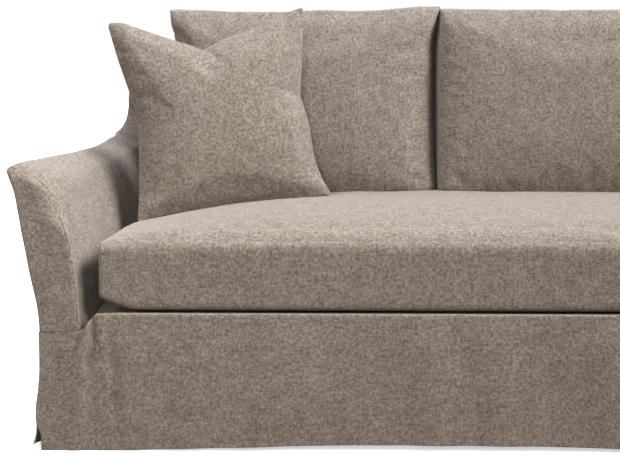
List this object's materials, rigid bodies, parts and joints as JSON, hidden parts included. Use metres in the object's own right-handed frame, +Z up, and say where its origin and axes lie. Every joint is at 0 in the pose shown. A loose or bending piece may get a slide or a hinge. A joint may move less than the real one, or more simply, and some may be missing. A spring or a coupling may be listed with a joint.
{
  "type": "sofa slipcover",
  "caption": "Loose fitted sofa slipcover: hollow cover with flared arms, a swept back and a plain skirt, with its filled seat, back and throw cushions.",
  "frame": {"origin": "middle of the underside of the cloth under the seat cushion, where the sofa's seat frame carries the cover", "axes": "+X to the sitter's left-hand side seen from the front (the viewer's right), +Y towards the back, +Z up"},
  "size_m": [1.752, 0.927, 0.9602],
  "materials": {
    "cover_cloth": "matt heathered brown-grey tweed",
    "cushion_cloth": "matt heathered brown-grey tweed"
  },
  "bodies": {
    "root": {"front_skirt": "cover_cloth", "arm_front_left": "cover_cloth", "arm_front_right": "cover_cloth", "inside_arm_left": "cover_cloth", "inside_arm_right": "cover_cloth", "side_left": "cover_cloth", "side_right": "cover_cloth", "deck": "cover_cloth", "inside_back": "cover_cloth", "outside_back": "cover_cloth", "seat_cushion": "cushion_cloth", "back_cushion_left": "cushion_cloth", "back_cushion_right": "cushion_cloth", "throw_pillow": "cushion_cloth"}
  },
  "joints": []
}
